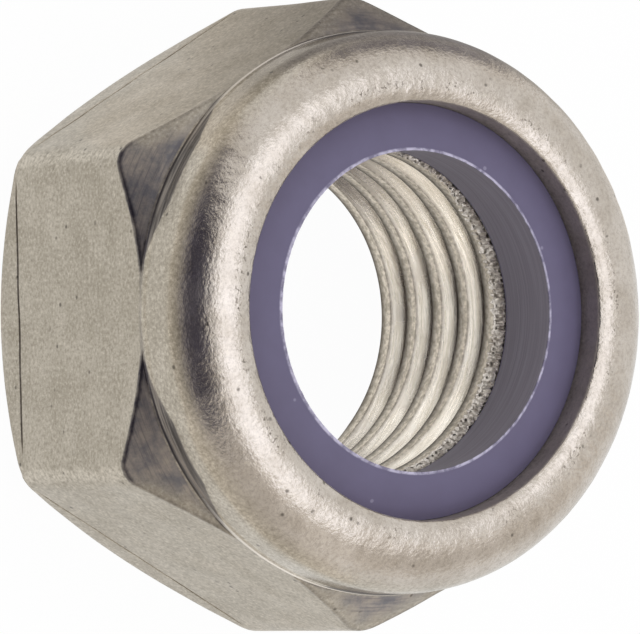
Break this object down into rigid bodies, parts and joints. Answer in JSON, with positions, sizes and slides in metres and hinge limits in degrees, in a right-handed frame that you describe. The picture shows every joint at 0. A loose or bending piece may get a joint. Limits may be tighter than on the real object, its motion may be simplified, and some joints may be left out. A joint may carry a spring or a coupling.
{
  "type": "nylon insert lock nut",
  "caption": "Hexagon lock nut with a round collar crimped over a nylon ring, chamfered ends and a tapped through hole.",
  "frame": {"origin": "centre of the flat bearing face, on the thread axis", "axes": "+Z along the thread axis from the bearing face to the nylon end; two corners of the hexagon lie on X and two flats face Y"},
  "size_m": [0.027, 0.024, 0.0155],
  "materials": {
    "stainless_steel": "satin, cold forged and tumbled",
    "nylon": "matte, moulded"
  },
  "bodies": {
    "root": {"nut_body": "stainless_steel", "nylon_ring": "nylon"}
  },
  "joints": []
}
